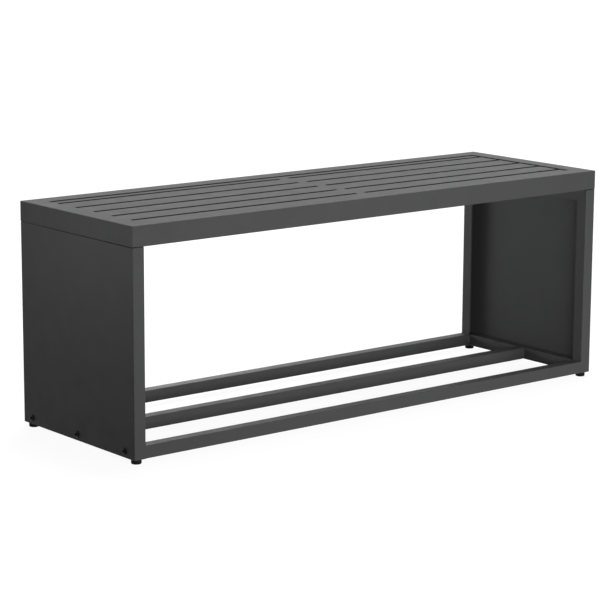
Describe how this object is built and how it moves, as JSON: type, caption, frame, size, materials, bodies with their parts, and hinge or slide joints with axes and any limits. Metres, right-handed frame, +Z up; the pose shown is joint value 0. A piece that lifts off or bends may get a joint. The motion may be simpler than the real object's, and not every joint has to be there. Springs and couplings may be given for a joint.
{
  "type": "firewood rack",
  "caption": "Low open metal bench that stores logs: folded sheet sides, square-tube base and lid frame, slotted seat panel, side bolts and round levelling feet.",
  "frame": {"origin": "on the floor, under the middle of the rack, with the feet screwed right in", "axes": "+X along the width to the right as seen from the front, +Y from the front to the back, +Z up"},
  "size_m": [1.208, 0.38, 0.45],
  "materials": {
    "powder_coat": "fine matte anthracite powder coat",
    "black_screws": "black oxide steel",
    "zinc_steel": "bright zinc plating",
    "foot_plastic": "matte black plastic"
  },
  "bodies": {
    "rack": {"left_side_panel": "powder_coat", "right_side_panel": "powder_coat", "base_front_rail": "powder_coat", "base_rear_rail": "powder_coat", "base_centre_rail": "powder_coat", "base_left_crossbar": "powder_coat", "base_right_crossbar": "powder_coat", "lid_front_tube": "powder_coat", "lid_rear_tube": "powder_coat", "lid_left_tube": "powder_coat", "lid_right_tube": "powder_coat", "seat_panel": "powder_coat", "seat_front_ledge": "powder_coat", "seat_rear_ledge": "powder_coat", "seat_left_ledge": "powder_coat", "seat_right_ledge": "powder_coat", "seat_bearer": "powder_coat", "left_side_bolts": "black_screws", "right_side_bolts": "black_screws", "left_lid_screws": "black_screws", "right_lid_screws": "black_screws", "left_side_rivet_nuts": "zinc_steel", "right_side_rivet_nuts": "zinc_steel", "left_lid_rivet_nuts": "zinc_steel", "right_lid_rivet_nuts": "zinc_steel", "foot_rivet_nuts": "zinc_steel"},
    "front_left_foot": {"front_left_foot_pad": "foot_plastic"},
    "front_left_foot_screw": {"front_left_foot_stud": "zinc_steel"},
    "front_right_foot": {"front_right_foot_pad": "foot_plastic"},
    "front_right_foot_screw": {"front_right_foot_stud": "zinc_steel"},
    "rear_left_foot": {"rear_left_foot_pad": "foot_plastic"},
    "rear_left_foot_screw": {"rear_left_foot_stud": "zinc_steel"},
    "rear_right_foot": {"rear_right_foot_pad": "foot_plastic"},
    "rear_right_foot_screw": {"rear_right_foot_stud": "zinc_steel"}
  },
  "joints": [
    {"name": "front_left_foot_height", "type": "slide", "parent": "rack", "child": "front_left_foot", "axis": [0, 0, -1], "range_m": [0, 0.01]},
    {"name": "front_left_foot_turn", "type": "hinge", "parent": "front_left_foot", "child": "front_left_foot_screw", "pos_m": [-0.586, -0.176, 0.0058], "axis": [0, 0, -1], "range_deg": [0, 2880]},
    {"name": "front_right_foot_height", "type": "slide", "parent": "rack", "child": "front_right_foot", "axis": [0, 0, -1], "range_m": [0, 0.01]},
    {"name": "front_right_foot_turn", "type": "hinge", "parent": "front_right_foot", "child": "front_right_foot_screw", "pos_m": [0.586, -0.176, 0.0058], "axis": [0, 0, -1], "range_deg": [0, 2880]},
    {"name": "rear_left_foot_height", "type": "slide", "parent": "rack", "child": "rear_left_foot", "axis": [0, 0, -1], "range_m": [0, 0.01]},
    {"name": "rear_left_foot_turn", "type": "hinge", "parent": "rear_left_foot", "child": "rear_left_foot_screw", "pos_m": [-0.586, 0.176, 0.0058], "axis": [0, 0, -1], "range_deg": [0, 2880]},
    {"name": "rear_right_foot_height", "type": "slide", "parent": "rack", "child": "rear_right_foot", "axis": [0, 0, -1], "range_m": [0, 0.01]},
    {"name": "rear_right_foot_turn", "type": "hinge", "parent": "rear_right_foot", "child": "rear_right_foot_screw", "pos_m": [0.586, 0.176, 0.0058], "axis": [0, 0, -1], "range_deg": [0, 2880]}
  ],
  "couplings": [
    {"joint": "front_left_foot_turn", "follows": "front_left_foot_height", "rad_per_m": 5026.5},
    {"joint": "front_right_foot_turn", "follows": "front_right_foot_height", "rad_per_m": 5026.5},
    {"joint": "rear_left_foot_turn", "follows": "rear_left_foot_height", "rad_per_m": 5026.5},
    {"joint": "rear_right_foot_turn", "follows": "rear_right_foot_height", "rad_per_m": 5026.5}
  ]
}
